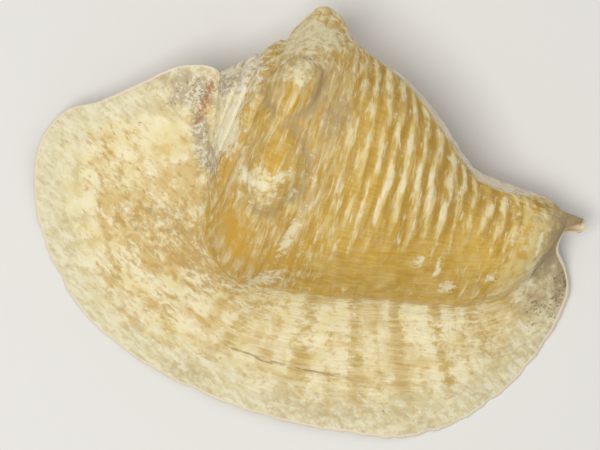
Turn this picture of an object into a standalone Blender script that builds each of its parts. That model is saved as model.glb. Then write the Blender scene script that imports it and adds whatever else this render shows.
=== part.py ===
"""A giant winged conch shell, one grown piece, lying with its mouth down. Metres, +Z up.

The shell is one closed loft. Its sections are loops, stacked from the apex (station 0) to the tip of the
front canal (station 1). Each loop runs round the coiled body from the mouth side, under the belly, over the
back and the crown, out along the top of the flared wing, round its rim, back along the wing's underside,
into the mouth cavity to its deep end, and out along the inner wall to where it began.

Places on the shell are given along its coiling axis, across it (towards the wing) and up.
"""

import bmesh
import bpy
import numpy as np

# where the coiling axis lies
APEX = (-0.0458, 0.0832)
AXIS_HEADING = np.radians(-21.3)
APEX_HEIGHT = 0.057
AXIS_FALL = 0.138

# coiling: each whorl is this many times larger than the one before it
WHORL_GROWTH = 1.6
OLDEST_WHORL = 6
SUTURE = 0.0335
SPIRE_SLIMNESS = 0.96
SPIRE_SLOPE = 1.22

# outline of the last whorl: place along the axis, radius
WHORL_PROFILE = (
    (0.0335, 0.0384),
    (0.0410, 0.0515),
    (0.0470, 0.0600),
    (0.0530, 0.0624),
    (0.0600, 0.0625),
    (0.0710, 0.0605),
    (0.0910, 0.0550),
    (0.1200, 0.0485),
    (0.1500, 0.0340),
    (0.1750, 0.0180),
    (0.2050, 0.0060),
    (0.2600, 0.0020),
)

# unscaled place along the axis of each station of the regular coil
STATION_PLACE = (
    (0.00, 0.000),
    (0.06, 0.005),
    (0.12, 0.013),
    (0.18, 0.023),
    (0.245, 0.0335),
    (0.34, 0.052),
    (0.454, 0.085),
    (0.566, 0.121),
    (0.71, 0.170),
    (0.83, 0.215),
    (1.00, 0.284),
)

# where the back of the shell turns into the wing: station, along, across
FLARE_LINE = (
    (0.00, 0.0000, -0.0030),
    (0.04, 0.0040, 0.0110),
    (0.11, 0.0100, 0.0330),
    (0.20, 0.0180, 0.0640),
    (0.293, 0.0300, 0.0920),
    (0.34, 0.0430, 0.1000),
    (0.386, 0.0590, 0.1010),
    (0.454, 0.0810, 0.0970),
    (0.63, 0.1380, 0.0810),
    (0.776, 0.1840, 0.0640),
    (0.828, 0.1980, 0.0530),
    (0.905, 0.2105, 0.0290),
    (0.94, 0.2130, 0.0160),
    (0.97, 0.2155, 0.0085),
    (1.00, 0.2232, 0.0020),
)

# the rim of the wing: station, along, across, height
WING_RIM = (
    (0.00, 0.0000, -0.0030, 0.0570),
    (0.02, -0.0080, -0.0036, 0.0570),
    (0.055, -0.0250, 0.0035, 0.0510),
    (0.10, -0.0440, 0.0215, 0.0410),
    (0.125, -0.0603, 0.0365, 0.0310),
    (0.15, -0.0755, 0.0465, 0.0230),
    (0.18, -0.0845, 0.0605, 0.0160),
    (0.22, -0.0840, 0.0860, 0.0095),
    (0.26, -0.0730, 0.1114, 0.0048),
    (0.30, -0.0540, 0.1350, 0.0022),
    (0.34, -0.0275, 0.1550, 0.0022),
    (0.38, 0.0054, 0.1677, 0.0038),
    (0.47, 0.0890, 0.1740, 0.0066),
    (0.55, 0.1420, 0.1650, 0.0062),
    (0.63, 0.1760, 0.1550, 0.0042),
    (0.71, 0.2050, 0.1320, 0.0024),
    (0.775, 0.2234, 0.1020, 0.0024),
    (0.83, 0.2330, 0.0690, 0.0042),
    (0.875, 0.2335, 0.0390, 0.0075),
    (0.905, 0.2262, 0.0281, 0.0105),
    (0.93, 0.2177, 0.0228, 0.0220),
    (0.957, 0.2153, 0.0139, 0.0295),
    (0.98, 0.2179, 0.0067, 0.0320),
    (1.00, 0.2230, 0.0024, 0.0310),
)

# the pillar inside the front canal: place along the axis, radius, and its shift across
PILLAR = (
    (0.000, 0.0000, -0.0030),
    (0.020, 0.0001, -0.0005),
    (0.100, 0.0005, 0.0000),
    (0.130, 0.0040, 0.0008),
    (0.160, 0.0100, 0.0060),
    (0.181, 0.0106, 0.0060),
    (0.204, 0.0089, 0.0050),
    (0.211, 0.0064, 0.0048),
    (0.220, 0.0050, 0.0034),
    (0.229, 0.0036, 0.0020),
)

# crown knobs: angle round the axis, height, place along the axis
KNOBS = (
    (166, 0.0070, 0.0500),
    (120, 0.0140, 0.0500),
    (82, 0.0130, 0.0420),
    (3, 0.0095, 0.0390),
    (-42, 0.0090, 0.0355),
    (-88, 0.0086, 0.0345),
    (-134, 0.0060, 0.0326),
    (-178, 0.0030, 0.0306),
)
KNOB_WIDTH = 0.0165

# the wing and the hollow under it
WALL = 0.006
CANAL_WALL = 0.0016
BELLY_GLAZE = 0.0025
CAVITY_ANGLE = 150
FLARE_SHARPNESS = 2.2
RIM_DROOP = 0.45

# how far the shell has worn flat where it touches the ground
CONTACT_WEAR = 0.0009

# how finely the loft is divided
STATIONS = 50
ROUND_BODY = 45
ACROSS_WING = 13
ROUND_RIM = 3
IN_CAVITY = 18


def ramp(low, high, x):
    """Rise smoothly from 0 at low to 1 at high."""
    t = np.clip((x - low) / (high - low), 0, 1)
    return t * t * (3 - 2 * t)


def curve_through(points, column, x):
    """Read a smooth curve through the points, given by their first and another column."""
    xs = np.array([point[0] for point in points])
    ys = np.array([point[column] for point in points])
    step = np.diff(xs)
    slope = np.diff(ys) / step
    tangent = np.zeros(len(xs))
    tangent[1:-1] = (slope[:-1] * step[1:] + slope[1:] * step[:-1]) / (step[:-1] + step[1:])
    tangent[0] = slope[0]
    tangent[-1] = slope[-1]
    i = np.clip(np.searchsorted(xs, x) - 1, 0, len(xs) - 2)
    h = step[i]
    t = np.clip((x - xs[i]) / h, 0, 1)
    start = (1 + 2 * t) * (1 - t) ** 2 * ys[i] + t * (1 - t) ** 2 * h * tangent[i]
    end = t * t * (3 - 2 * t) * ys[i + 1] + t * t * (t - 1) * h * tangent[i + 1]
    return start + end


def whorl_scale(angle):
    """Size of the coil at an angle, against the last whorl at the mouth side."""
    return WHORL_GROWTH ** ((angle - 180) / 360)


def coil_radius(place):
    """Radius of the coil's outline: the last whorl's, and smaller copies of it up the spire."""
    place = np.maximum(place, 1e-9)
    whorls_back = np.ceil(np.log(SUTURE / place) / np.log(WHORL_GROWTH) - 1e-9)
    size = WHORL_GROWTH ** np.clip(whorls_back, 0, OLDEST_WHORL)
    radius = curve_through(WHORL_PROFILE, 1, np.maximum(place * size, SUTURE)) / size
    spire = np.minimum(SPIRE_SLIMNESS * radius, SPIRE_SLOPE * place)
    return np.where(place < SUTURE, spire, radius)


def knob_height(angle, place):
    """Height of the crown knobs over the plain coil."""
    height = np.zeros_like(place)
    for knob_angle, knob_tall, knob_place in KNOBS:
        size = whorl_scale(knob_angle)
        width = KNOB_WIDTH * size ** 0.5
        around = np.radians(angle - knob_angle) * 0.060 * size
        height = height + knob_tall * np.exp(-(around / width) ** 2 - ((place - knob_place) / width) ** 2)
    return height


def body_surface(station, angle):
    """Place along the axis and radius of the coiled body's outside."""
    scale = whorl_scale(angle)
    place = scale * curve_through(STATION_PLACE, 1, station)
    flare_place = curve_through(FLARE_LINE, 1, station)
    flare_across = curve_through(FLARE_LINE, 2, station)
    place = place + (flare_place - place) * ramp(0.5, 1.0, station)
    radius = scale * coil_radius(place / scale)
    pillar = curve_through(PILLAR, 1, place)
    radius = (radius ** 4 + pillar ** 4) ** 0.25

    # towards the mouth side the whorl opens out to the flare line
    opening = np.clip((angle - 20) / 160, 0, 1) ** FLARE_SHARPNESS
    flare_radius = flare_across - curve_through(PILLAR, 2, flare_place)
    flare_radius = np.maximum(flare_radius, 1.02 * curve_through(PILLAR, 1, flare_place))
    place = place + (flare_place - place) * opening
    radius = radius + (flare_radius - radius) * opening

    glaze = ramp(30, 70, -angle) * ramp(0.25, 0.40, station) * (1 - ramp(0.80, 0.95, station))
    radius = radius + BELLY_GLAZE * glaze
    radius = radius + knob_height(angle, place) * (1 - 0.5 * ramp(0.85, 1.0, opening))

    # the belly side of the canal reaches past the back side in a rounded lip
    lip = 0.0042 * ramp(0.93, 1.0, station) * np.exp(-((angle + 95) / 70) ** 2)
    return place + lip, radius


def canal_turn(station, angle):
    """Angle at which a point of the body stands: the back wall of the canal stops short at its tip."""
    last = curve_through(((0.90, 180), (0.93, 172), (0.955, 150), (0.975, 118), (1.0, 62)), 1, station)
    last = np.where(station < 0.90, 180, last)
    return angle - (180 - last) * np.clip(angle / 180, 0, 1) ** 1.3


def on_axis(place, radius, angle):
    """Point (along, across, up) at a radius and angle round the coiling axis."""
    turn = np.radians(angle)
    across = curve_through(PILLAR, 2, place) - radius * np.cos(turn)
    up = APEX_HEIGHT - AXIS_FALL * place + radius * np.sin(turn)
    return np.stack([place, across, up], -1)


def unit(vectors):
    """Vectors at length one."""
    return vectors / (np.linalg.norm(vectors, axis=-1, keepdims=True) + 1e-12)


def wing_top(station, body, before):
    """Top of the wing, as arcs from the flare line to the rim. before is a row just short of the line."""
    root = body[:, -1]
    leaving = unit(root - before)
    rim = np.stack([curve_through(WING_RIM, column, station) for column in (1, 2, 3)], -1)
    reach = np.linalg.norm(rim - root, axis=1, keepdims=True)
    outward = unit((rim - root) * np.array([1, 1, 0]))
    droop = unit(outward - np.array([0, 0, RIM_DROOP]))

    # at the canal the wall just runs straight on
    straight = ramp(0.957, 0.985, station)[:, None]
    rim = rim + (root + leaving * reach - rim) * straight
    droop = unit(droop + (leaving - droop) * straight)
    near_root = root + leaving * np.minimum(0.25 * reach, 0.016)
    near_rim = rim - droop * 0.38 * reach
    t = np.linspace(0, 1, ACROSS_WING + 1)[None, 1:, None]
    return (
        (1 - t) ** 3 * root[:, None]
        + 3 * (1 - t) ** 2 * t * near_root[:, None]
        + 3 * (1 - t) * t * t * near_rim[:, None]
        + t ** 3 * rim[:, None]
    )


def wing_underside(station, sheet):
    """Underside of the wing: its top set in by the wall, square to the surface."""
    normal = unit(np.cross(np.gradient(sheet, axis=0), np.gradient(sheet, axis=1)))
    wing = slice(ROUND_BODY - 1, None)
    taper = 1 - 0.25 * ramp(0.5, 1.0, np.linspace(0, 1, ACROSS_WING + 1))
    depth = wall_at(station)[:, None] * taper[None, :]
    return sheet[:, wing] - normal[:, wing] * depth[..., None]


def wall_at(station):
    """Thickness of the wall: thin at the apex and in the canal."""
    thin = 1 - (1 - CANAL_WALL / WALL) * ramp(0.86, 0.96, station)
    return WALL * ramp(0.0, 0.10, station) * thin


def rounded_rim(top, inner, under):
    """Round the rim from the last top point to the last underside point. inner is a row inside top."""
    middle = (top + under) / 2
    half = (top - under) / 2
    bulge = unit(top - inner) * np.linalg.norm(half, axis=1, keepdims=True)
    turns = np.linspace(0, np.pi, ROUND_RIM + 2)[1:-1]
    rows = [middle + half * np.cos(turn) + 0.9 * bulge * np.sin(turn) for turn in turns]
    return np.stack(rows, 1)


def cavity(station, under_root):
    """Walls of the mouth cavity, from the wing's root round its deep end to the inner wall."""
    s = station[:, None]
    wall = wall_at(s)
    w = np.linspace(0, 1, IN_CAVITY + 2)[None, 1:-1]
    way_in = np.sin(np.pi * w) ** 0.77
    crossing = (1 - np.sign(np.cos(np.pi * w)) * np.abs(np.cos(np.pi * w)) ** 0.62) / 2
    depth = ramp(0.25, 0.45, s) * (1 - 0.75 * ramp(0.62, 0.86, s))
    angle = 180 - CAVITY_ANGLE * depth * way_in
    outer_place, outer_radius = body_surface(s, angle)
    inner_place, inner_radius = body_surface(s, angle - 360)
    outer = on_axis(outer_place, np.maximum(outer_radius - wall, inner_radius), angle)
    inner = on_axis(inner_place, inner_radius, angle)
    whorl = outer + (inner - outer) * crossing[..., None]

    # at the front the hollow becomes an open trough inside the pillar
    angle = 180 - 360 * w
    place, radius = body_surface(s, angle)
    edge = np.sqrt(1 - np.clip((w - 0.9) / 0.1, 0, 1) ** 2)
    radius = radius - np.minimum(wall, 0.36 * radius) * edge
    trough = on_axis(place, radius, canal_turn(s, angle))
    hollow = whorl + (trough - whorl) * ramp(0.86, 0.95, s)[..., None]

    # both start from the underside of the wing's root
    place, radius = body_surface(station, 180.0)
    start = on_axis(place, radius - wall[:, 0], canal_turn(station, 180.0))
    fade = (1 - w[..., None]) ** 4
    return hollow + (under_root - start)[:, None] * fade


def section_loops():
    """All the sections of the shell, as a grid of points (along, across, up)."""
    share = np.linspace(0, 1, STATIONS)
    spread = ((0, 0), (0.25, 0.20), (0.5, 0.42), (0.75, 0.72), (0.9, 0.905), (1, 1))
    station = curve_through(spread, 1, share)
    s = station[:, None]
    angle = np.linspace(-180, 180, ROUND_BODY)[None, :]
    place, radius = body_surface(s, angle)
    body = on_axis(place, radius, canal_turn(s, angle))
    place, radius = body_surface(station, 179.0)
    before = on_axis(place, radius, canal_turn(station, 179.0))
    top = wing_top(station, body, before)
    under = wing_underside(station, np.concatenate([body, top], 1))
    rim = rounded_rim(top[:, -1], top[:, -2], under[:, -1])
    hollow = cavity(station, under[:, 0])
    return np.concatenate([body, top, rim, under[:, ::-1], hollow], 1)


def to_ground_frame(points):
    """Turn (along, across, up) points into X, Y, Z."""
    along = np.array([np.cos(AXIS_HEADING), np.sin(AXIS_HEADING)])
    across = np.array([along[1], -along[0]])
    flat = points[..., :1] * along + points[..., 1:2] * across + np.array(APEX)
    return np.concatenate([flat, points[..., 2:]], -1)


def shell_mesh(name):
    """Join the sections into one closed mesh, worn flat where it touches the ground."""
    grid = to_ground_frame(section_loops())
    rows, columns = grid.shape[:2]
    mesh = bmesh.new()
    apex = mesh.verts.new(grid[0, 0])
    rings = []
    for row in grid[1:]:
        rings.append([mesh.verts.new(point) for point in row])
    for j in range(columns):
        k = (j + 1) % columns
        mesh.faces.new((apex, rings[0][k], rings[0][j]))
        for i in range(rows - 2):
            mesh.faces.new((rings[i][j], rings[i][k], rings[i + 1][k], rings[i + 1][j]))
    mesh.faces.new(rings[-1])
    bmesh.ops.remove_doubles(mesh, verts=mesh.verts, dist=0.00005)
    bmesh.ops.triangulate(mesh, faces=mesh.faces)
    bmesh.ops.recalc_face_normals(mesh, faces=mesh.faces)

    floor = min(vert.co.z for vert in mesh.verts) + CONTACT_WEAR
    geometry = mesh.verts[:] + mesh.edges[:] + mesh.faces[:]
    bmesh.ops.bisect_plane(
        mesh, geom=geometry, dist=1e-6, plane_co=(0, 0, floor), plane_no=(0, 0, 1), clear_inner=True
    )
    open_edges = [edge for edge in mesh.edges if edge.is_boundary]
    bmesh.ops.holes_fill(mesh, edges=open_edges, sides=0)
    bmesh.ops.recalc_face_normals(mesh, faces=mesh.faces)

    low = [min(vert.co[axis] for vert in mesh.verts) for axis in range(3)]
    high = [max(vert.co[axis] for vert in mesh.verts) for axis in range(3)]
    shift = (-(low[0] + high[0]) / 2, -(low[1] + high[1]) / 2, -low[2])
    bmesh.ops.translate(mesh, verts=mesh.verts, vec=shift)
    data = bpy.data.meshes.new(name)
    mesh.to_mesh(data)
    mesh.free()
    return data


def shell_material():
    """Old weathered shell: chalky, pale ochre, hardly glossy."""
    material = bpy.data.materials.new("weathered_shell")
    material.use_nodes = True
    surface = material.node_tree.nodes["Principled BSDF"]
    surface.inputs["Base Color"].default_value = (0.60, 0.46, 0.22, 1.0)
    surface.inputs["Roughness"].default_value = 0.55
    surface.inputs["Metallic"].default_value = 0.0
    return material


def build():
    """Build the shell in its own collection."""
    for old in list(bpy.data.objects):
        bpy.data.objects.remove(old, do_unlink=True)
    collection = bpy.data.collections.new("conch_shell")
    bpy.context.scene.collection.children.link(collection)
    shell = bpy.data.objects.new("shell", shell_mesh("shell"))
    shell.data.materials.append(shell_material())
    collection.objects.link(shell)


build()
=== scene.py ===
import bmesh
import bpy
import numpy as np
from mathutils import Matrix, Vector, noise


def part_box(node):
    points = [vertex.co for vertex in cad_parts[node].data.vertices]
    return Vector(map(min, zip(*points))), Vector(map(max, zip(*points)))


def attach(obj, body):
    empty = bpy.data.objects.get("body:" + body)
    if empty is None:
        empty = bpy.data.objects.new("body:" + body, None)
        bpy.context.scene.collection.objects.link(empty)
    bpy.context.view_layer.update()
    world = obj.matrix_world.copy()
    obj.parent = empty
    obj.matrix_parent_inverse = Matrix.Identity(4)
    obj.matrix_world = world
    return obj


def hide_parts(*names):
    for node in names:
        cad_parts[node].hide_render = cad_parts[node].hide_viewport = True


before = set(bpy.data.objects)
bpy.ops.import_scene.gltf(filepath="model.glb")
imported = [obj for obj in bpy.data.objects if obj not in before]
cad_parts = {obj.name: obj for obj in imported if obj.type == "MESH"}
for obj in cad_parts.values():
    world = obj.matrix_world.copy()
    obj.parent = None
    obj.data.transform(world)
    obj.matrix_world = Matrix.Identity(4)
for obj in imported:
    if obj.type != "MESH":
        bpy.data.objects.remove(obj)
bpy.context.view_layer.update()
print("frame loaded")

perMetre = 1000  # millimetres in a metre

# The shell grows as one loft: rows run from the apex to the canal's tip, columns run round the coiled
# body, out over the wing, round its rim and back underneath into the mouth. Lengths are in metres. A row's
# station is 0 at the apex and 1 at the canal's tip, and angles are in degrees round the coil's axis.
coil = {
    "apex": (-0.0458, 0.0832),
    "heading": np.radians(-21.3),
    "apexHeight": 0.057,
    "axisFall": 0.138,
    "whorlGrowth": 1.6,  # each whorl is this many times larger than the one before
    "oldestWhorl": 6,
    "suture": 0.0335,
    "spireSlimness": 0.96,
    "spireSlope": 1.22,
    # place along the axis, radius of the last whorl
    "profile": (
        (0.0335, 0.0384), (0.0410, 0.0515), (0.0470, 0.0600), (0.0530, 0.0624),
        (0.0600, 0.0625), (0.0710, 0.0605), (0.0910, 0.0550), (0.1200, 0.0485),
        (0.1500, 0.0340), (0.1750, 0.0180), (0.2050, 0.0060), (0.2600, 0.0020),
    ),
    # station, place along the axis
    "stationPlace": (
        (0.00, 0.000), (0.06, 0.005), (0.12, 0.013), (0.18, 0.023), (0.245, 0.0335), (0.34, 0.052),
        (0.454, 0.085), (0.566, 0.121), (0.71, 0.170), (0.83, 0.215), (1.00, 0.284),
    ),
    # place along the axis, radius of the pillar in the front canal, its shift across
    "pillar": (
        (0.000, 0.0000, -0.0030), (0.020, 0.0001, -0.0005), (0.100, 0.0005, 0.0000),
        (0.130, 0.0040, 0.0008), (0.160, 0.0100, 0.0060), (0.181, 0.0106, 0.0060),
        (0.204, 0.0089, 0.0050), (0.211, 0.0064, 0.0048), (0.220, 0.0050, 0.0034),
        (0.229, 0.0036, 0.0020),
    ),
    # angle round the axis, height, place along the axis
    "knobs": (
        (166, 0.0070, 0.0500), (120, 0.0140, 0.0500), (82, 0.0130, 0.0420), (3, 0.0095, 0.0390),
        (-42, 0.0090, 0.0355), (-88, 0.0086, 0.0345), (-134, 0.0060, 0.0326), (-178, 0.0030, 0.0306),
    ),
    "knobWidth": 0.0165,
    "knobGirth": 0.060,  # radius that turns an angle beside a knob into a length
    "bellyGlaze": 0.0025,
    "bellyStations": (0.25, 0.40, 0.80, 0.95),
    "flareStart": 20,  # angle at which the back begins to open towards the wing
    "flareSharpness": 2.2,
    "seamLift": 0.0042,  # how far the belly is pushed forward at the canal
    # station, angle at which the canal's back wall stops
    "canalTurn": ((0.90, 180), (0.93, 172), (0.955, 150), (0.975, 118), (1.0, 62)),
    "canalTurnPower": 1.3,
    "canalThins": (0.86, 0.96),  # stations between which the wall thins to that of the canal
}

wing = {
    # where the back turns into the wing: station, along the axis, across it
    "flareLine": (
        (0.00, 0.0000, -0.0030), (0.04, 0.0040, 0.0110), (0.11, 0.0100, 0.0330),
        (0.20, 0.0180, 0.0640), (0.293, 0.0300, 0.0920), (0.34, 0.0430, 0.1000),
        (0.386, 0.0590, 0.1010), (0.454, 0.0810, 0.0970), (0.63, 0.1380, 0.0810),
        (0.776, 0.1840, 0.0640), (0.828, 0.1980, 0.0530), (0.905, 0.2105, 0.0290),
        (0.94, 0.2130, 0.0160), (0.97, 0.2155, 0.0085), (1.00, 0.2232, 0.0020),
    ),
    # the rim: station, along the axis, across it, height
    "rim": (
        (0.00, 0.0000, -0.0030, 0.0570), (0.02, -0.0080, -0.0036, 0.0570),
        (0.055, -0.0250, 0.0035, 0.0510), (0.10, -0.0440, 0.0215, 0.0410),
        (0.125, -0.0603, 0.0365, 0.0310), (0.15, -0.0755, 0.0465, 0.0230),
        (0.18, -0.0845, 0.0605, 0.0160), (0.22, -0.0840, 0.0860, 0.0095),
        (0.26, -0.0730, 0.1114, 0.0048), (0.30, -0.0540, 0.1350, 0.0022),
        (0.34, -0.0275, 0.1550, 0.0022), (0.38, 0.0054, 0.1677, 0.0038),
        (0.47, 0.0890, 0.1740, 0.0066), (0.55, 0.1420, 0.1650, 0.0062),
        (0.63, 0.1760, 0.1550, 0.0042), (0.71, 0.2050, 0.1320, 0.0024),
        (0.775, 0.2234, 0.1020, 0.0024), (0.83, 0.2330, 0.0690, 0.0042),
        (0.875, 0.2335, 0.0390, 0.0075), (0.905, 0.2262, 0.0281, 0.0105),
        (0.93, 0.2177, 0.0228, 0.0220), (0.957, 0.2153, 0.0139, 0.0295),
        (0.98, 0.2179, 0.0067, 0.0320), (1.00, 0.2230, 0.0024, 0.0310),
    ),
    "wall": 0.006,
    "canalWall": 0.0016,
    "droop": 0.45,  # the slope with which the wing meets its rim
    "straightens": (0.957, 0.985),  # stations between which the wing runs out flat
    "rootPull": (0.25, 0.016),  # how far the wing runs straight on: as a share of its reach, and at most
    "rimPull": 0.38,  # the share of its reach over which it bends down to the rim
    "rimBulge": 0.9,
    "mouthAngle": 150,
    "mouthFullness": 0.77,
    "mouthSquareness": 0.62,
    "troughStarts": (0.86, 0.95),  # stations between which the mouth turns into the canal's trough
}

division = {
    "stations": 262, "belly": 70, "back": 130, "wing": 84, "rim": 7, "mouth": 46,
    # share of the rows, station that they have reached
    "spread": ((0, 0), (0.25, 0.20), (0.5, 0.42), (0.75, 0.72), (0.9, 0.905), (1, 1)),
    "weld": 0.000002,
}


def ramp(low, high, x):
    t = np.clip((x - low) / (high - low), 0, 1)
    return t * t * (3 - 2 * t)


def between(marks, x):
    # rises between the first two marks and falls between the last two
    return ramp(marks[0], marks[1], x) * (1 - ramp(marks[2], marks[3], x))


def curveThrough(points, column, x):
    # a smooth curve through a few points, given by their first and another column
    xs = np.array([point[0] for point in points])
    ys = np.array([point[column] for point in points])
    step = np.diff(xs)
    slope = np.diff(ys) / step
    tangent = np.zeros(len(xs))
    tangent[1:-1] = (slope[:-1] * step[1:] + slope[1:] * step[:-1]) / (step[:-1] + step[1:])
    tangent[0] = slope[0]
    tangent[-1] = slope[-1]
    i = np.clip(np.searchsorted(xs, x) - 1, 0, len(xs) - 2)
    h = step[i]
    t = np.clip((x - xs[i]) / h, 0, 1)
    start = (1 + 2 * t) * (1 - t) ** 2 * ys[i] + t * (1 - t) ** 2 * h * tangent[i]
    end = t * t * (3 - 2 * t) * ys[i + 1] + t * t * (t - 1) * h * tangent[i + 1]
    return start + end


def unit(vectors):
    return vectors / (np.linalg.norm(vectors, axis=-1, keepdims=True) + 1e-12)


def whorlScale(angle):
    return coil["whorlGrowth"] ** ((angle - 180) / 360)


def coilRadius(place):
    # the last whorl's outline, and smaller copies of it up the spire
    place = np.maximum(place, 1e-9)
    whorlsBack = np.ceil(np.log(coil["suture"] / place) / np.log(coil["whorlGrowth"]) - 1e-9)
    size = coil["whorlGrowth"] ** np.clip(whorlsBack, 0, coil["oldestWhorl"])
    radius = curveThrough(coil["profile"], 1, np.maximum(place * size, coil["suture"])) / size
    spire = np.minimum(coil["spireSlimness"] * radius, coil["spireSlope"] * place)
    return np.where(place < coil["suture"], spire, radius)


def knobDistance(angle, place, knobAngle, knobPlace):
    # how far a point lies from the peak of a knob, in widths of that knob
    size = whorlScale(knobAngle)
    around = np.radians(angle - knobAngle) * coil["knobGirth"] * size
    return np.hypot(around, place - knobPlace) / (coil["knobWidth"] * size ** 0.5)


def knobHeight(angle, place):
    height = np.zeros_like(place)
    for knobAngle, knobTall, knobPlace in coil["knobs"]:
        height = height + knobTall * np.exp(-knobDistance(angle, place, knobAngle, knobPlace) ** 2)
    return height


def bodySurface(station, angle):
    # place along the axis and radius of the coiled body's outside
    scale = whorlScale(angle)
    place = scale * curveThrough(coil["stationPlace"], 1, station)
    flarePlace = curveThrough(wing["flareLine"], 1, station)
    flareAcross = curveThrough(wing["flareLine"], 2, station)
    place = place + (flarePlace - place) * ramp(0.5, 1.0, station)
    radius = scale * coilRadius(place / scale)
    pillar = curveThrough(coil["pillar"], 1, place)
    radius = (radius ** 4 + pillar ** 4) ** 0.25
    turned = (angle - coil["flareStart"]) / (180 - coil["flareStart"])
    opening = np.clip(turned, 0, 1) ** coil["flareSharpness"]
    flareRadius = flareAcross - curveThrough(coil["pillar"], 2, flarePlace)
    flareRadius = np.maximum(flareRadius, 1.02 * curveThrough(coil["pillar"], 1, flarePlace))
    place = place + (flarePlace - place) * opening
    radius = radius + (flareRadius - radius) * opening
    glaze = ramp(30, 70, -angle) * between(coil["bellyStations"], station)
    radius = radius + coil["bellyGlaze"] * glaze
    radius = radius + knobHeight(angle, place) * (1 - 0.5 * ramp(0.85, 1.0, opening))
    lift = coil["seamLift"] * ramp(0.93, 1.0, station) * np.exp(-((angle + 95) / 70) ** 2)
    return place + lift, radius


def canalTurn(station, angle):
    last = curveThrough(coil["canalTurn"], 1, station)
    last = np.where(station < coil["canalTurn"][0][0], 180, last)
    return angle - (180 - last) * np.clip(angle / 180, 0, 1) ** coil["canalTurnPower"]


def onAxis(place, radius, angle):
    turn = np.radians(angle)
    across = curveThrough(coil["pillar"], 2, place) - radius * np.cos(turn)
    up = coil["apexHeight"] - coil["axisFall"] * place + radius * np.sin(turn)
    return np.stack([place, across, up], -1)


def wallAt(station):
    thin = 1 - (1 - wing["canalWall"] / wing["wall"]) * ramp(*coil["canalThins"], station)
    return wing["wall"] * ramp(0.0, 0.10, station) * thin


def wingTop(station, body):
    # arcs from the flare line to the rim
    place, radius = bodySurface(station, 179.0)
    before = onAxis(place, radius, canalTurn(station, 179.0))
    root = body[:, -1]
    leaving = unit(root - before)
    rim = np.stack([curveThrough(wing["rim"], column, station) for column in (1, 2, 3)], -1)
    reach = np.linalg.norm(rim - root, axis=1, keepdims=True)
    outward = unit((rim - root) * np.array([1, 1, 0]))
    droop = unit(outward - np.array([0, 0, wing["droop"]]))
    straight = ramp(*wing["straightens"], station)[:, None]
    rim = rim + (root + leaving * reach - rim) * straight
    droop = unit(droop + (leaving - droop) * straight)
    share, most = wing["rootPull"]
    nearRoot = root + leaving * np.minimum(share * reach, most)
    nearRim = rim - droop * wing["rimPull"] * reach
    t = np.linspace(0, 1, division["wing"] + 1)[None, 1:, None]
    top = (1 - t) ** 3 * root[:, None] + 3 * (1 - t) ** 2 * t * nearRoot[:, None]
    return top + 3 * (1 - t) * t * t * nearRim[:, None] + t ** 3 * rim[:, None]


def roundedRim(top, inner, under):
    middle = (top + under) / 2
    half = (top - under) / 2
    bulge = unit(top - inner) * np.linalg.norm(half, axis=1, keepdims=True)
    bulge = wing["rimBulge"] * bulge
    turns = np.linspace(0, np.pi, division["rim"] + 2)[1:-1]
    return np.stack([middle + half * np.cos(turn) + bulge * np.sin(turn) for turn in turns], 1)


def mouthWalls(station, underRoot):
    # from the wing's root round the deep end of the mouth, and out along the inner wall
    s = station[:, None]
    wall = wallAt(s)
    w = np.linspace(0, 1, division["mouth"] + 2)[None, 1:-1]
    wayIn = np.sin(np.pi * w) ** wing["mouthFullness"]
    swing = np.cos(np.pi * w)
    crossing = (1 - np.sign(swing) * np.abs(swing) ** wing["mouthSquareness"]) / 2
    depth = ramp(0.25, 0.45, s) * (1 - 0.75 * ramp(0.62, 0.86, s))
    angle = 180 - wing["mouthAngle"] * depth * wayIn
    outerPlace, outerRadius = bodySurface(s, angle)
    innerPlace, innerRadius = bodySurface(s, angle - 360)
    outer = onAxis(outerPlace, np.maximum(outerRadius - wall, innerRadius), angle)
    inner = onAxis(innerPlace, innerRadius, angle)
    whorl = outer + (inner - outer) * crossing[..., None]
    angle = 180 - 360 * w  # at the front the hollow opens into a trough inside the pillar
    place, radius = bodySurface(s, angle)
    edge = np.sqrt(1 - np.clip((w - 0.9) / 0.1, 0, 1) ** 2)
    radius = radius - np.minimum(wall, 0.36 * radius) * edge
    trough = onAxis(place, radius, canalTurn(s, angle))
    hollow = whorl + (trough - whorl) * ramp(*wing["troughStarts"], s)[..., None]
    place, radius = bodySurface(station, 180.0)
    start = onAxis(place, radius - wall[:, 0], canalTurn(station, 180.0))
    return hollow + (underRoot - start)[:, None] * (1 - w[..., None]) ** 4


def toGround(points):
    along = np.array([np.cos(coil["heading"]), np.sin(coil["heading"])])
    across = np.array([along[1], -along[0]])
    flat = points[..., :1] * along + points[..., 1:2] * across + np.array(coil["apex"])
    return np.concatenate([flat, points[..., 2:]], -1)


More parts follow.
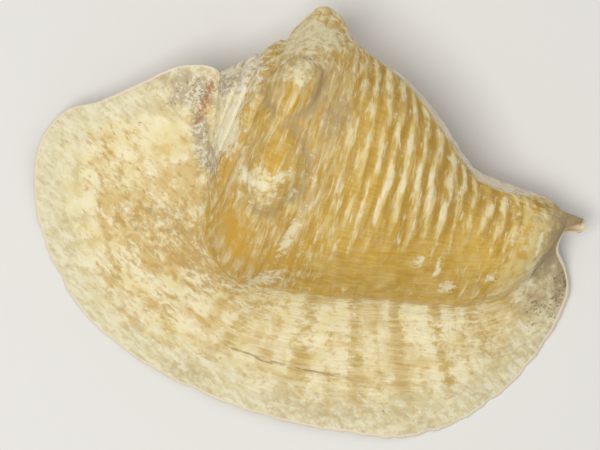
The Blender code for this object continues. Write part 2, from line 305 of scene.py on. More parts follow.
relief = {
    # heights in metres; a grain is the size of a noise in mm, along the coil and across it
    "cordSpacing": 8.9,  # mm, at the mouth side of the last whorl
    "cordHeight": 0.00055,
    "wingCord": 0.00040,
    "cordGrain": (30, 35),
    "cordStations": (0.27, 0.36, 0.80, 0.92),
    "cordAngles": (-50, 10),
    "outsideStations": (0.03, 0.10),
    "outsideAngles": (-70, -20),
    "growthStep": 0.00022,
    "stepGrain": (45, 3.4),
    "wingFold": 0.00095,
    "foldGrain": (38, 11),
    "foldEnds": (0.90, 0.96),
    "ruffle": 0.00050,
    "ruffleGrain": (3.6, 26),
    "ruffleEnds": (0.33, 0.42),
    "knobRing": 0.00024,
    "ringsPerWidth": 3.4,
    "ringsReach": 1.25,  # in widths of the knob, as are the moat's two measures
    "knobMoat": 0.0014,
    "moatReach": 1.06,
    "moatWidth": 0.20,
    # small swellings that round the big knob: angle, height, place, width
    "swellings": ((4, 0.0034, 0.0515, 0.0085), (0, -0.0016, 0.0255, 0.0080), (118, 0.0012, 0.050, 0.011)),
    "swellingGirth": 0.045,  # radius that turns an angle beside a swelling into a length
    "sutureGroove": 0.0010,
    "sutureWidth": 0.10,  # as a share of a whorl, as are the nodules' place and width
    "spireNodule": 0.0016,
    "nodulesPerTurn": 9,
    "nodulePlace": 0.50,
    "noduleWidth": 0.22,
    "pit": 0.00090,
    "pitSize": 0.0042,
    # patches eaten into the outside: x, y, half length, half width in mm, turn in degrees
    "eroded": ((-63, 75, 12, 8, 10), (-60, 56, 14, 5, -75), (-56, 40, 10, 5, -60), (-46, 80, 9, 5, 20)),
    "crackStep": 0.00045,
    "crackWander": 1.6,  # mm by which the break strays from the line below
    "crackGrain": (9, 1),
    "crackOpens": (70, 80, 100, 138),  # mm along the coil
    # mm along the coil, mm from the flare line
    "crackGrowth": ((70, 58.8), (99, 58.5), (120, 60.7), (152, 61.2), (172, 55.0), (196, 42.8), (212, 38.1)),
    "rimChip": 0.0012,
    "chipGrain": (5, 1),
    "chipStations": (0.03, 0.12, 0.86, 0.93),
    "girth": 55,  # mm, the radius that turns an angle into a length along the growth
}


def noiseAt(vectors, detail=2):
    flat = vectors.reshape(-1, 3).tolist()
    values = [noise.fractal(vector, 1.0, 2.0, detail) for vector in flat]
    return np.array(values).reshape(vectors.shape[:-1])


def weaveNoise(cord, growth, grain, level, detail=2):
    # noise stretched along the coil and across it; each level is a pattern of its own
    return noiseAt(np.stack([cord / grain[0], growth / grain[1], level + 0 * cord], -1), detail)


def spots(place, marks):
    # soft ellipses seen from above: 1 in the middle, 0.5 on the outline, 0 at twice its size
    value = np.zeros(place.shape[:-1])
    for x, y, long, wide, turn in marks:
        dx = place[..., 0] * perMetre - x
        dy = place[..., 1] * perMetre - y
        c, s = np.cos(np.radians(turn)), np.sin(np.radians(turn))
        distance = np.hypot((dx * c + dy * s) / long, (dy * c - dx * s) / wide)
        value = np.maximum(value, np.clip(1 - 0.5 * distance, 0, 1))
    return value


def crackLine(cord, growth):
    # how far outside the old break each point lies, in mm, and how open the break is there
    wander = relief["crackWander"] * weaveNoise(cord, 0 * cord, relief["crackGrain"], 5, 3)
    gape = between(relief["crackOpens"], cord)
    return growth - curveThrough(relief["crackGrowth"], 1, cord) - wander, gape


def knobRings(angle, place):
    # growth rings on the crown's knobs, and the shallow moat round each, whose mask also lays a painted
    # shade in it
    rings = np.zeros_like(place)
    moatAndShade = np.zeros_like(place)
    for knobAngle, _, knobPlace in coil["knobs"][1:3]:
        far = knobDistance(angle, place, knobAngle, knobPlace)
        fading = np.exp(-(far / relief["ringsReach"]) ** 4)
        rings = rings + np.sin(2 * np.pi * relief["ringsPerWidth"] * far) * fading
        moatAndShade = moatAndShade + np.exp(-((far - relief["moatReach"]) / relief["moatWidth"]) ** 2)
    return rings, moatAndShade


def outerRelief(station, angle, across, place, weave, ground):
    # cords along the coil, growth folds across them, rings on the knobs, pits and the old break
    cord, growth = weave[..., 0], weave[..., 1]
    s = station[:, None]
    reach = between(relief["cordStations"], s) * ramp(*relief["cordAngles"], angle)
    waver = weaveNoise(cord, growth, relief["cordGrain"], 0)
    wave = (0.5 + 0.5 * np.cos(2 * np.pi * (cord / relief["cordSpacing"] + 0.45 * waver))) ** 1.4
    cordHeight = relief["cordHeight"] + (relief["wingCord"] - relief["cordHeight"]) * ramp(0, 0.3, across)
    height = cordHeight * wave * reach * (0.75 + 0.5 * waver) * (1 - 0.5 * across)
    outside = ramp(*relief["outsideAngles"], angle) * ramp(*relief["outsideStations"], s)
    step = weaveNoise(cord, growth, relief["stepGrain"], 7, 3)
    height = height + relief["growthStep"] * step * outside
    fold = weaveNoise(cord, growth, relief["foldGrain"], 3)
    fold = fold * ramp(0.02, 0.25, across) * (1 - ramp(*relief["foldEnds"], s))
    height = height + relief["wingFold"] * fold
    ruffle = weaveNoise(cord, growth, relief["ruffleGrain"], 11)
    height = height + relief["ruffle"] * ruffle * (1 - ramp(*relief["ruffleEnds"], s)) * outside
    rings, moatAndShade = knobRings(angle, place)
    onCrown = (1 - ramp(0, 0.05, across)) * outside
    height = height + (relief["knobRing"] * rings - relief["knobMoat"] * moatAndShade) * onCrown
    whorl = np.log(coil["suture"] / np.maximum(curveThrough(coil["stationPlace"], 1, s), 0.001))
    whorl = whorl / np.log(coil["whorlGrowth"]) + 0 * angle
    onSpire = onCrown * ramp(-0.25, -0.05, whorl) * ramp(3.6, 2.8, whorl)
    groove = np.exp(-((whorl - np.round(whorl)) / relief["sutureWidth"]) ** 2)
    nodule = np.clip(np.cos(np.radians(angle) * relief["nodulesPerTurn"] + 1.2), 0, 1) ** 1.5
    wholeWhorls = np.floor(whorl)
    offMiddle = whorl - wholeWhorls - relief["nodulePlace"]
    nodule = nodule * np.exp(-(offMiddle / relief["noduleWidth"]) ** 2)
    nodule = nodule * whorlScale(angle - 360 * wholeWhorls)
    height = height + onSpire * (relief["spireNodule"] * nodule - relief["sutureGroove"] * groove)
    for swellAngle, tall, swellPlace, width in relief["swellings"]:
        around = np.radians(angle - swellAngle) * relief["swellingGirth"]
        height = height + tall * onCrown * np.exp(-(around ** 2 + (place - swellPlace) ** 2) / width ** 2)
    beyond, gape = crackLine(cord, growth)
    height = height - relief["crackStep"] * gape * ramp(-0.8, 0.8, beyond) * ramp(14, 2, beyond)
    pits = spots(ground, relief["eroded"]) * outside
    height = height + relief["pit"] * pits * (noiseAt(ground / relief["pitSize"], 3) - 0.6)
    return height, wave * reach, moatAndShade * onCrown


def sections():
    share = np.linspace(0, 1, division["stations"])
    station = curveThrough(division["spread"], 1, share)
    s = station[:, None]
    belly = np.linspace(-180, 0, division["belly"], endpoint=False)
    angle = np.concatenate([belly, np.linspace(0, 180, division["back"])])[None, :]
    place, radius = bodySurface(s, angle)
    body = onAxis(place, radius, canalTurn(s, angle))
    top = wingTop(station, body)
    sheet = np.concatenate([body, top], 1)
    normal = unit(np.cross(np.gradient(sheet, axis=0), np.gradient(sheet, axis=1)))

    # where each point lies along and across the growth of the shell, in mm
    columns = sheet.shape[1]
    bodyColumns = body.shape[1]
    angles = np.concatenate([angle, np.full((1, columns - bodyColumns), 180.0)], 1) + 0 * s
    across = np.zeros((1, columns))
    across[0, bodyColumns:] = np.linspace(0, 1, division["wing"] + 1)[1:]
    across = across + 0 * s
    places = np.concatenate([place, place[:, -1:] + 0 * top[..., 0]], 1)
    cord = perMetre * curveThrough(coil["stationPlace"], 1, s) + 0 * across
    length = np.linalg.norm(top[:, -1] - body[:, -1], axis=1)[:, None] * perMetre
    growth = np.radians(angles - 180) * relief["girth"] * whorlScale(angles) + across * length
    toRim = (1 - across) * length + np.radians(180 - angles) * relief["girth"]
    weave = np.stack([cord, growth, toRim], -1)

    height, cords, moatAndShade = outerRelief(station, angles, across, places, weave, toGround(sheet))
    outer = sheet + normal * height[..., None]
    chips = weaveNoise(cord[:, :1], 0 * s, relief["chipGrain"], 0, 3) * relief["rimChip"]
    outward = unit((top[:, -1] - body[:, -1]) * np.array([1, 1, 0]))
    edge = np.concatenate([0 * body[..., 0], across[:, bodyColumns:] ** 8], 1)
    edge = edge * between(relief["chipStations"], s)
    outer = outer + outward[:, None] * (chips * edge)[..., None]

    taper = 1 - 0.25 * ramp(0.5, 1.0, np.linspace(0, 1, division["wing"] + 1))
    wingPart = slice(bodyColumns - 1, None)
    depth = wallAt(station)[:, None] * taper[None, :]
    under = sheet[:, wingPart] - normal[:, wingPart] * depth[..., None]
    under = under + outward[:, None] * (chips * edge)[:, wingPart, None]
    rim = roundedRim(outer[:, -1], outer[:, -2], under[:, -1])
    mouth = mouthWalls(station, under[:, 0])
    under = under[:, ::-2]
    loop = np.concatenate([outer, rim, under, mouth, outer[:, :1]], 1)

    def along(values, rimValue, underValues, mouthValue, last):
        rows = division["stations"]
        parts = [values, np.full((rows, rim.shape[1]), 1.0) * rimValue, underValues,
                 np.full((rows, mouth.shape[1]), 1.0) * mouthValue, last]
        return np.concatenate(parts, 1)

    underCord = cord[:, wingPart][:, ::-2]
    underGrowth = growth[:, wingPart][:, ::-2]
    underRim = toRim[:, wingPart][:, ::-2]
    weaveAll = np.stack([
        along(cord, cord[:, -1:], underCord, cord[:, :1], cord[:, :1]),
        along(growth, growth[:, -1:], underGrowth, growth[:, bodyColumns:bodyColumns + 1], growth[:, :1]),
        along(toRim, 0, underRim, 100.0, toRim[:, :1]),
    ], -1)
    inside = np.concatenate([0 * sheet[..., 0], np.full(rim.shape[:2], 0.5), np.ones(under.shape[:2]),
                             np.ones(mouth.shape[:2]), 0 * s], 1)
    angleAll = along(angles, 180, 0 * underCord + 180, 180, angles[:, :1])
    cordsAll = along(cords, 0, 0 * underCord, 0, cords[:, :1])
    # the moats' mask, which the paint uses to darken the moats as painted shade
    moatShadeAll = along(moatAndShade, 0, 0 * underCord, 0, moatAndShade[:, :1])
    stations = s + 0 * cordsAll
    return toGround(loop), weaveAll, {
        "inside": inside, "angle": angleAll, "cords": cordsAll, "moatAndShade": moatShadeAll, "station": stations,
    }


def fitToFrame(points):
    # the CAD solid says where the shell ends and where the ground is
    low, high = (np.array(corner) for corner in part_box("shell"))
    flatLow = points.reshape(-1, 3).min(0)
    flatHigh = points.reshape(-1, 3).max(0)
    size = (high - low)[:2] / (flatHigh - flatLow)[:2]
    points = points.copy()
    points[..., :2] = (points[..., :2] - (flatLow + flatHigh)[:2] / 2) * np.minimum(size, 1.0)
    points[..., :2] += (low + high)[:2] / 2
    points[..., 2] = np.clip(points[..., 2] + high[2] - flatHigh[2], low[2], high[2])
    return points


markings = {
    "rayCord": 121.0,  # mm along the coil of one brown ray, and the way from ray to ray
    "raySpacing": 23.0,
    "callusEdge": (  # station, angle up to which the belly's callus reaches
        (0.30, -24), (0.45, 10), (0.54, 29), (0.61, 47), (0.67, 67), (0.72, 75), (0.76, 74),
        (0.80, 58), (0.85, 20), (1.00, -20),
    ),
    # soft patches on the upper side: x, y, half length, half width in mm, turn in degrees
    "rust": ((-57.5, 70, 5, 2.5, 70), (-54.5, 79, 4, 1.8, 80), (-61, 62, 3, 1.5, 60)),
    "pale": (
        (-41.5, 51, 10, 4.2, 80), (-25, 23, 8, 2.2, -10), (-14, 27, 6, 2.2, 35), (-33, 28, 5, 2.0, -70),
        (-4, 76, 4, 1.8, -70), (10, 108, 6, 2.4, -30), (62, -18, 3.5, 2, 40), (72, -22, 4.5, 1.6, 80),
        (79, -33, 4, 2.5, 10), (103, -28, 3, 2, 10), (-10, -4, 12, 2, 62), (-24, -28, 10, 3, 20),
        (126, -30, 13, 2.0, 68), (131, -8, 7, 1.4, 80),
    ),
    "bright": ((-46, 33, 9, 6, 60), (-18, 36, 4, 3, 0), (-40, -2, 17, 7, -60), (131, 12, 3, 1.8, 30),
               (-39.4, -83.5, 3, 2, 0), (121, -15, 4, 3, 0), (-16, -17, 15, 6, 5)),
    "specks": ((150, -34, 20, 7, 80), (133, -46, 10, 7, 60)),
    "paleCrown": ((4, 106, 19, 15, 20), (-5, 84, 8, 5, 10), (13, 118, 12, 9, -50),
                  (-22, 30, 15, 12, 0), (-42, 66, 14, 8, 70)),
    "pinholes": ((-139, 68), (-146, 45), (-151, 32), (-150, 2), (-148, -17), (-125, 52), (37, -50),
                 (14, -115), (45, -107), (98, -98), (132, -61), (136, -68), (-95, 60)),
    "pinhole": (0.55, 0.5, 0),  # each pinhole's half length and half width in mm, and its turn
    "bleached": ((-82, 56, 20, 14, 10), (-140, 10, 12, 40, 0)),
    "stain": ((-70, 84, 15, 5, 5), (133, -44, 10, 6, 20), (137, -12, 15, 6, 75),
              (147, 3, 14, 6, -20), (150, -36, 18, 9, 80), (16, 58, 9, 6, 60)),
    "amber": ((133, 13.5, 7, 2.4, -28), (118, 5, 4, 2, 60)),
    "tanned": ((-66, -10, 34, 13, -24), (-40, -34, 22, 7, -30), (106, -68, 24, 12, -25)),
    "patchSize": 0.034,  # metres across the patches in which markings are stronger or weaker
    "breakGrain": (6, 11),  # mm along the coil and across it
    "bandGrowth": -15,  # mm from the flare line to the middle of the band of painted shade on the steep wall above the valley
    "bandHalf": 9,
    "aboveGround": 0.004,  # the soft patches stop this far above the ground
    "margin": (30, 8),  # mm from the rim
    "crackHalf": 0.7,  # mm, half the width of the open break, and of the stained line that carries it on
    "restHalf": 1.6,
    # stations between which a marking begins or ends, or does both in turn
    "crownStations": (0.18, 0.25, 0.42, 0.52),
    "bodyStations": (0.13, 0.20),
    "cordsBegin": ((0.35, 0.32, 0.36), (0.65, 0.40, 0.50)),  # share of the strength, stations
    "cordsEnd": (0.74, 0.84),
    "bandStations": (0.30, 0.38, 0.70, 0.80),
    "rayStations": (0.37, 0.44),
    "leftEnds": (0.36, 0.46),
    "front": (0.74, 0.83),
    "canal": (0.80, 0.94),
    "spireEnds": (0.16, 0.26),
    "mouthEnds": (0.84, 0.95),
}


def paintZones(points, weave, where):
    # how much of each finish covers each point, from 0 to 1
    s, angle = where["station"], where["angle"]
    growth, toRim, cord = weave[..., 1], weave[..., 2], weave[..., 0]
    outside = 1 - where["inside"]
    patchy = 1 + 1.3 * noiseAt(points / markings["patchSize"])
    broken = 1 + 1.9 * weaveNoise(cord, growth, markings["breakGrain"], 9)
    onWing = ramp(-3, 7, growth) * outside
    edge = np.where(s < 0.27, -400, curveThrough(markings["callusEdge"], 1, s))
    callus = ramp(edge + 9, edge - 9, angle) * outside
    front = ramp(*markings["front"], s)
    left = 1 - ramp(*markings["leftEnds"], s)
    bare = outside * (1 - callus)
    body = ramp(8 + 14 * left, -7 - 9 * left, growth) * ramp(*markings["bodyStations"], s) * bare
    corded = sum(strength * ramp(low, high, s) for strength, low, high in markings["cordsBegin"])
    corded = corded * (1 - ramp(*markings["cordsEnd"], s)) * ramp(162, 112, angle)
    turns = (cord - markings["rayCord"]) / markings["raySpacing"]
    onRay = 0.5 + 0.5 * np.cos(2 * np.pi * turns)
    rays = onRay ** 3 + 0.45 * (1 - onRay) ** 8  # broad rays, with a fine one between each two
    rays = rays * ramp(*markings["rayStations"], s) * (1 - 0.4 * ramp(0.80, 0.88, s))
    inner = 1 - ramp(16, 5, toRim)
    # a band of painted shade on the steep body wall just above the valley where it turns into the wing
    valleyShade = np.exp(-((growth - markings["bandGrowth"]) / markings["bandHalf"]) ** 2)
    valleyShade = valleyShade * between(markings["bandStations"], s)
    beyond, gape = crackLine(cord, growth)
    crack = np.exp(-(beyond / markings["crackHalf"]) ** 2) * gape * onWing * (0.36 + 0.48 * patchy)
    upper = outside * (points[..., 2] > markings["aboveGround"])
    grooved = corded * (0.40 + 0.25 * ramp(88, 118, cord)) * (1 - where["cords"]) ** 2
    crested = corded * broken * 0.46 * where["cords"] ** 1.4
    marginal = ramp(*markings["margin"], toRim) * patchy * (1 - 0.5 * left)
    restLine = np.exp(-(beyond / markings["restHalf"]) ** 2) * ramp(84, 112, cord)
    pinholes = [mark + markings["pinhole"] for mark in markings["pinholes"]]

    def marked(name):
        return spots(points, markings[name]) * upper

    tanned = marked("tanned")
    return {
        "bodyOchre": body * (1 - 0.5 * front),
        # painted shade above the valley, over a faint spread of deeper ochre patches on the whole body
        "ochreAndValleyShade": (0.85 * valleyShade + 0.12) * body,
        "crown": body * between(markings["crownStations"], s) * (0.45 + 0.55 * patchy),
        "cordGroove": body * patchy * (0.10 + grooved),
        # the worn crests are kept less pale inside the band of painted shade
        "cordCrest": body * (patchy * 0.14 + crested) * (1 - 0.7 * valleyShade),
        "wingTan": onWing * inner * patchy * (0.42 + 0.22 * ramp(0.70, 0.78, s)),
        "growthLines": onWing * (1 - left) * (0.15 + 0.55 * patchy),
        "rays": onWing * inner * (1 - left) * (0.02 + 0.80 * rays) * (0.5 + 0.5 * patchy),
        "blotches": onWing * inner * left * 0.34 * (1 - spots(points, markings["bleached"])) + 0.40 * tanned,
        "mosaic": tanned * patchy,
        "flareLines": np.exp(-((growth - 3) / 6) ** 2) * (1 - left) * outside,
        "pinholes": spots(points, pinholes) * upper,
        "canal": ramp(*markings["canal"], s) * outside,
        "spire": (1 - ramp(*markings["spireEnds"], s)) * outside * ramp(8, -4, growth),
        "margin": 0.42 * onWing * marginal,
        "restLine": 0.7 * restLine * onWing * patchy,
        "frontMottle": 0.62 * front * ramp(14, 0, growth) * bare,
        "whiteLip": onWing * ramp(34, 3, toRim),
        "callus": callus,
        "erosion": spots(points, relief["eroded"]) * upper,
        "rust": marked("rust"),
        "pale": marked("pale"),
        "bright": marked("bright"),
        "amber": marked("amber"),
        # painted shade: the moats round the big knobs are coloured a darker grey-brown, broken up by noise
        "moatAndShade": where["moatAndShade"] * patchy * 0.8,
        "paleCrown": marked("paleCrown") * patchy,
        "stain": marked("stain"),
        "specks": 0.05 * onWing * ramp(34, 8, toRim) * upper + 0.44 * marked("specks"),
        "crack": crack,
        "rimEdge": ramp(1.5, 0.4, toRim) * onWing + 0.9 * (where["inside"] == 0.5),
        "glaze": np.maximum(where["inside"], callus),
        "mouth": (1 - ramp(*markings["mouthEnds"], s)) * np.maximum(
            ramp(12, 78, toRim) * (where["inside"] > 0.9), callus * ramp(20, -60, angle)),
        "weathered": bare,
    }


# Old shell is aragonite, laid down in layers and then sand-blasted by the surf: chalky and matt outside,
# where the ochre skin has worn off the crests, and like glazed porcelain on the callus and in the mouth.
chalkyShell = {
    "base": "#E6D69E",
    "ior": 1.53,
    "mattRoughness": 0.62,
    "glazedRoughness": 0.26,
    "reflection": 0.28,
    "slant": 0.68,  # radians by which the left wing's streaks lean
    "grainRoughness": 0.6,
    "grainDistortion": 0.12,
    "onset": 0.15,  # the share of a zone at which its layers reach their full strength
    # colour, zone, pattern space, pattern size in mm, detail, gain, softness, strength, share of the zone
    "layers": (
        ("#F1E6C0", "weathered", "place", (14, 14, 14), 5, 2.4, 0.30, 0.85, 0.58),
        ("#D3B470", "wingTan", "place", (12, 12, 12), 6, 2.8, 0.26, 0.75, 0.80),
        ("#CBAC60", "rays", "place", (4.6, 4.6, 4.6), 5, 2.8, 0.24, 0.82, 0.90),
        ("#B6954A", "rays", "weave", (4, 3.2, 1), 3, 2.8, 0.30, 0.60, 0.85),
        ("#CFAC64", "blotches", "slant", (13, 5.5, 8), 4, 2.8, 0.30, 0.80, 1),
        ("#BC9755", "blotches", "slant", (6.5, 3, 4), 4, 2.8, 0.24, 0.70, 0.88),
        ("#EADDB0", "mosaic", "place", (5.0, 5.0, 5.0), 5, 2.8, 0.22, 0.75, 0.55),
        ("#AD9560", "mosaic", "place", (3.6, 3.6, 3.6), 5, 2.8, 0.24, 0.50, 0.55),
        ("#EFE4BA", "growthLines", "weave", (16, 2.1, 1), 2, 2.6, 0.34, 0.42, 0.6),
        ("#C4A062", "growthLines", "weave", (16, 1.2, 1), 3, 2.6, 0.34, 0.28, 0.55),
        ("#BD9844", "flareLines", "weave", (18, 1.9, 1), 3, 2.6, 0.32, 0.70, 0.85),
        ("#C2A064", "restLine", "weave", (8, 2.2, 1), 4, 2.6, 0.30, 0.60, 0.75),
        ("#D3CAA4", "whiteLip", "place", (12, 12, 12), 5, 2.4, 0.44, 0.60, 0.9),
        ("#ECE6C8", "whiteLip", "slant", (11, 3.8, 8), 5, 2.8, 0.26, 0.66, 0.52),
        ("#BFAB75", "whiteLip", "slant", (7, 2.8, 6), 5, 2.8, 0.26, 0.46, 0.32),
        ("#BFA574", "margin", "place", (4.2, 4.2, 4.2), 6, 2.8, 0.30, 0.55, 0.78),
        ("#D2AA42", "bodyOchre", "weave", (12, 9, 1), 5, 1.6, 0.24, 1.0, 1),
        # painted shade on the steep wall above the valley, with deeper ochre patches elsewhere on the body
        ("#BE9734", "ochreAndValleyShade", "weave", (26, 7, 1), 4, 2.4, 0.34, 0.70, 1),
        ("#BD8F2A", "bodyOchre", "place", (21, 21, 21), 6, 2.6, 0.36, 0.66, 0.55),
        ("#E0C375", "bodyOchre", "place", (11, 11, 11), 5, 2.6, 0.34, 0.55, 0.5),
        ("#B38B34", "bodyOchre", "weave", (22, 1.6, 1), 2, 2.6, 0.34, 0.28, 0.5),
        ("#E4CC86", "bodyOchre", "weave", (14, 1.1, 1), 2, 2.6, 0.34, 0.26, 0.30),
        ("#A87E24", "cordGroove", "weave", (4.5, 22, 1), 2, 2.0, 0.50, 0.66, 1.1),
        ("#E8D498", "cordCrest", "weave", (3.4, 15, 1), 4, 2.4, 0.34, 0.84, 1.0),
        ("#F3E8C4", "cordCrest", "weave", (3.6, 10, 1), 3, 2.6, 0.24, 0.72, 0.66),
        ("#EADCAA", "crown", "weave", (2.6, 10, 1), 4, 2.8, 0.22, 0.72, 0.48),
        ("#B5862A", "crown", "weave", (2.0, 10, 1), 4, 2.6, 0.30, 0.50, 0.55),
        ("#CBAA80", "bodyOchre", "place", (6, 6, 6), 4, 2.8, 0.32, 0.30, 0.22),
        ("#CBAA7C", "spire", "place", (5, 5, 5), 5, 2.6, 0.28, 0.65, 0.55),
        ("#AFA48C", "spire", "place", (3.4, 3.4, 3.4), 5, 2.6, 0.20, 0.55, 0.45),
        ("#ECE4CC", "spire", "place", (4.2, 4.2, 4.2), 5, 2.6, 0.20, 0.90, 0.60),
        # painted shade in the moats round the knobs, a darker grey-brown
        ("#AB9468", "moatAndShade", "place", (5, 5, 5), 5, 2.2, 0.36, 0.60, 0.95),
        ("#EFE2B6", "paleCrown", "place", (5, 5, 5), 5, 2.6, 0.28, 0.90, 0.80),
        ("#C6A769", "paleCrown", "place", (3.4, 3.4, 3.4), 5, 2.8, 0.24, 0.60, 0.30),
        ("#C3B890", "paleCrown", "weave", (3, 4.5, 1), 4, 2.8, 0.22, 0.50, 0.28),
        ("#DCC585", "frontMottle", "place", (7, 7, 7), 5, 2.6, 0.28, 0.75, 1),
        ("#C89A30", "bright", "place", (5, 5, 5), 5, 2.4, 0.28, 0.80, 1.0),
        ("#A37C36", "amber", "place", (5, 5, 5), 5, 2.4, 0.32, 0.70, 0.85),
        ("#AC966F", "stain", "place", (4, 4, 4), 5, 2.2, 0.40, 0.65, 0.9),
        ("#EEE4BE", "pale", "place", (3.4, 3.4, 3.4), 5, 2.2, 0.24, 0.80, 0.95),
        ("#B3A283", "erosion", "place", (6, 6, 6), 6, 1.6, 0.24, 0.80, 1),
        ("#E6DEC4", "erosion", "place", (2.6, 2.6, 2.6), 4, 2.6, 0.16, 0.85, 0.55),
        ("#7E6C50", "erosion", "place", (1.8, 1.8, 1.8), 3, 2.6, 0.16, 0.70, 0.30),
        ("#A5622F", "rust", "place", (2.2, 2.2, 2.2), 5, 2.6, 0.30, 0.70, 0.90),
        ("#9C8665", "canal", "place", (6, 6, 6), 5, 2.2, 0.36, 0.72, 0.9),
        ("#5E5340", "pinholes", "place", (4, 4, 4), 2, 0.6, 0.25, 0.75, 1),
        ("#8F7048", "crack", "weave", (4, 3, 1), 4, 2.2, 0.24, 0.60, 0.9),
        ("#74654A", "specks", "place", (1.9, 1.9, 1.9), 3, 2.0, 0.10, 0.70, 1),
        ("#EFE0C2", "glaze", "place", (14, 14, 14), 2, 0.6, 0.25, 0.70, 0.8),
        ("#AFA486", "callus", "place", (5, 5, 5), 5, 1.8, 0.30, 0.85, 1),
        ("#E4B486", "mouth", "place", (24, 24, 24), 2, 0.8, 0.35, 0.85, 1),
        ("#CF9565", "mouth", "weave", (30, 7, 1), 4, 2.6, 0.36, 0.55, 0.45),
        ("#F3E4C8", "glaze", "weave", (26, 3.2, 1), 3, 2.6, 0.26, 0.52, 0.50),
        ("#D3B78C", "glaze", "weave", (34, 2.0, 1), 3, 2.6, 0.24, 0.34, 0.45),
        ("#E9DDC4", "callus", "place", (8, 8, 8), 6, 2.8, 0.22, 0.50, 0.60),
        ("#E9DCC6", "rimEdge", "place", (6, 6, 6), 2, 0.6, 0.20, 0.90, 1),
    ),
    # height in mm, zone, pattern space, pattern size in mm, detail
    "bumps": (
        (0.16, "weathered", "weave", (20, 1.3, 1), 2),
        (0.12, "weathered", "place", (1.1, 1.1, 1.1), 3),
        (0.45, "weathered", "place", (5, 5, 5), 3),
        (0.20, "cordCrest", "weave", (2.2, 9, 1), 2),
        (0.90, "erosion", "place", (1.7, 1.7, 1.7), 3),
        (0.06, "glaze", "place", (7, 7, 7), 2),
        (0.10, "glaze", "weave", (34, 2.6, 1), 2),
    ),
}


def linear(hexColour):
    channels = [int(hexColour[i:i + 2], 16) / 255 for i in (1, 3, 5)]
    return [c / 12.92 if c <= 0.04045 else ((c + 0.055) / 1.055) ** 2.4 for c in channels] + [1.0]


def addNode(tree, kind, settings=None, links=None):
    node = tree.nodes.new(kind)
    for key, value in (settings or {}).items():
        if isinstance(key, int) or key in node.inputs:
            node.inputs[key].default_value = value
        else:
            setattr(node, key, value)
    for key, socket in (links or {}).items():
        tree.links.new(socket, node.inputs[key])
    return node


def chalkyShellMaterial(zones):
    material = bpy.data.materials.new("surf-worn aragonite shell")
    material.use_nodes = True
    tree = material.node_tree
    surface = tree.nodes["Principled BSDF"]
    objectPlace = addNode(tree, "ShaderNodeTexCoord").outputs["Object"]
    millimetres = {
        "place": addNode(tree, "ShaderNodeVectorMath", {"operation": "SCALE", "Scale": float(perMetre)},
                         {0: objectPlace}).outputs[0],
        "weave": addNode(tree, "ShaderNodeAttribute", {"attribute_name": "weave"}).outputs["Vector"],
    }
    millimetres["slant"] = addNode(tree, "ShaderNodeVectorRotate", {
        "rotation_type": "Z_AXIS", "Angle": chalkyShell["slant"]},
        {"Vector": millimetres["place"]}).outputs[0]
    cover = {zone: addNode(tree, "ShaderNodeAttribute", {"attribute_name": zone}).outputs["Fac"]
             for zone in zones}

    def pattern(space, size, detail):
        shrink = addNode(tree, "ShaderNodeVectorMath", {"operation": "DIVIDE", 1: size},
                         {0: millimetres[space]})
        grain = addNode(tree, "ShaderNodeTexNoise", {
            "Scale": 1.0, "Detail": detail, "Roughness": chalkyShell["grainRoughness"],
            "Distortion": chalkyShell["grainDistortion"]}, {"Vector": shrink.outputs[0]})
        return grain.outputs["Fac"]

    colour = None
    for hexColour, zone, space, size, detail, gain, soft, strength, share in chalkyShell["layers"]:
        covered = addNode(tree, "ShaderNodeMath", {"operation": "MULTIPLY", 1: share}, {0: cover[zone]})
        reach = addNode(tree, "ShaderNodeMath", {"operation": "MULTIPLY_ADD", 1: gain},
                        {0: pattern(space, size, detail), 2: covered.outputs[0]})
        middle = 0.5 + gain / 2
        present = addNode(tree, "ShaderNodeMapRange", {
            "From Max": chalkyShell["onset"], "To Max": strength}, {"Value": cover[zone]})
        mask = addNode(tree, "ShaderNodeMapRange", {
            "interpolation_type": "SMOOTHSTEP", "From Min": middle - soft, "From Max": middle + soft},
            {"Value": reach.outputs[0], "To Max": present.outputs[0]})
        mix = addNode(tree, "ShaderNodeMix", {"data_type": "RGBA"}, {0: mask.outputs[0]})
        # sockets 6 and 7 are the two colours, and output 2 is their mix
        mix.inputs[6].default_value = linear(chalkyShell["base"])
        mix.inputs[7].default_value = linear(hexColour)
        if colour is not None:
            tree.links.new(colour, mix.inputs[6])
        colour = mix.outputs[2]
    tree.links.new(colour, surface.inputs["Base Color"])

    height = None
    for tall, zone, space, size, detail in chalkyShell["bumps"]:
        amount = addNode(tree, "ShaderNodeMath", {"operation": "MULTIPLY", 1: tall}, {0: cover[zone]})
        added = addNode(tree, "ShaderNodeMath", {"operation": "MULTIPLY_ADD", 2: 0.0},
                        {0: pattern(space, size, detail), 1: amount.outputs[0]})
        if height is not None:
            tree.links.new(height, added.inputs[2])
        height = added.outputs[0]
    bump = addNode(tree, "ShaderNodeBump", {"Strength": 1.0, "Distance": 0.001}, {"Height": height})
    tree.links.new(bump.outputs["Normal"], surface.inputs["Normal"])
    gloss = addNode(tree, "ShaderNodeMapRange", {
        "To Min": chalkyShell["mattRoughness"], "To Max": chalkyShell["glazedRoughness"]},
        {"Value": cover["glaze"]})
    tree.links.new(gloss.outputs[0], surface.inputs["Roughness"])
    surface.inputs["Specular IOR Level"].default_value = chalkyShell["reflection"]
    surface.inputs["IOR"].default_value = chalkyShell["ior"]
    return material


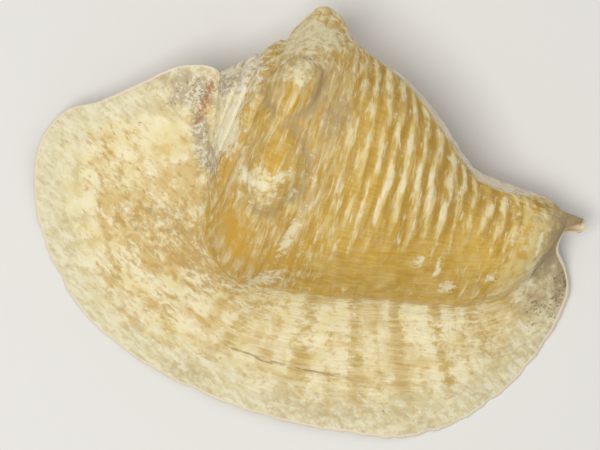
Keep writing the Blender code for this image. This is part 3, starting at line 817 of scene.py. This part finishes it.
def growShell(name):
    points, weave, where = sections()
    points = fitToFrame(points)
    zones = paintZones(points, weave, where)
    rows, columns = points.shape[:2]
    bm = bmesh.new()
    bmesh.ops.create_grid(bm, x_segments=columns - 1, y_segments=rows - 1, size=0.5)
    weaveLayer = bm.verts.layers.float_vector.new("weave")
    for vert in bm.verts:
        j = round((vert.co.x + 0.5) * (columns - 1))
        i = round((vert.co.y + 0.5) * (rows - 1))
        vert.co = points[i, j]
        vert.index = i * columns + j
        vert[weaveLayer] = (weave[i, j, 0], weave[i, j, 1], 0)  # the way to the rim isn't needed here
    for zone, values in zones.items():
        layer = bm.verts.layers.float.new(zone)
        flat = values.ravel().tolist()
        for vert in bm.verts:
            vert[layer] = flat[vert.index]
    bmesh.ops.remove_doubles(bm, verts=bm.verts, dist=division["weld"])
    openEdges = [edge for edge in bm.edges if edge.is_boundary]
    end = bmesh.ops.holes_fill(bm, edges=openEdges, sides=0)
    bmesh.ops.triangulate(bm, faces=end["faces"])
    bmesh.ops.recalc_face_normals(bm, faces=bm.faces)
    for face in bm.faces:
        face.smooth = True
    data = bpy.data.meshes.new(name)
    bm.to_mesh(data)
    bm.free()
    piece = bpy.data.objects.new(name, data)
    bpy.context.scene.collection.objects.link(piece)
    data.materials.append(chalkyShellMaterial(zones))
    return piece


shell = growShell("grown_shell")
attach(shell, "root")
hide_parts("shell")
print("shell grown,", len(shell.data.polygons), "faces")


studio = {
    "floorColour": "#E3E1DC",
    "floorRoughness": 0.9,
    "floorSize": 3.0,
    "floorHeight": -0.00005,  # just under the shell's worn flats, so that they don't flicker
    "cameraPlace": (-0.0042, 0.0020, 1.0015),
    "frameWidth": 0.3552,  # how much of the floor the camera takes in, in metres
    "sensorWidth": 36,
    "lamps": (
        # name, place, size, watts
        ("keyLamp", (-0.45, -0.25, 1.55), 0.8, 15.5),
        ("fillLamp", (0.8, 0.7, 1.3), 1.2, 4.5),
    ),
    "sky": 0.40,
}


def makeStudio():
    bm = bmesh.new()
    bmesh.ops.create_grid(bm, x_segments=1, y_segments=1, size=studio["floorSize"])
    data = bpy.data.meshes.new("floor")
    bm.to_mesh(data)
    bm.free()
    floor = bpy.data.objects.new("floor", data)
    floor.location.z = studio["floorHeight"]
    bpy.context.scene.collection.objects.link(floor)
    material = bpy.data.materials.new("matt painted floor")
    material.use_nodes = True
    surface = material.node_tree.nodes["Principled BSDF"]
    surface.inputs["Base Color"].default_value = linear(studio["floorColour"])
    surface.inputs["Roughness"].default_value = studio["floorRoughness"]
    data.materials.append(material)
    for name, place, size, watts in studio["lamps"]:
        lamp = bpy.data.lights.new(name, "AREA")
        lamp.size = size
        lamp.energy = watts
        holder = bpy.data.objects.new(name, lamp)
        holder.location = place
        holder.rotation_mode = "QUATERNION"
        holder.rotation_quaternion = (-Vector(place)).to_track_quat("-Z", "Y")
        bpy.context.scene.collection.objects.link(holder)
    world = bpy.data.worlds.new("studio")
    world.use_nodes = True
    world.node_tree.nodes["Background"].inputs["Color"].default_value = (1, 1, 1, 1)
    world.node_tree.nodes["Background"].inputs["Strength"].default_value = studio["sky"]
    bpy.context.scene.world = world
    camera = bpy.data.cameras.new("camera")
    camera.sensor_width = studio["sensorWidth"]
    camera.lens = studio["sensorWidth"] * studio["cameraPlace"][2] / studio["frameWidth"]
    holder = bpy.data.objects.new("camera", camera)
    holder.location = studio["cameraPlace"]
    bpy.context.scene.collection.objects.link(holder)
    bpy.context.scene.camera = holder
    bpy.context.scene.view_settings.view_transform = "Standard"


makeStudio()
print("studio lit")
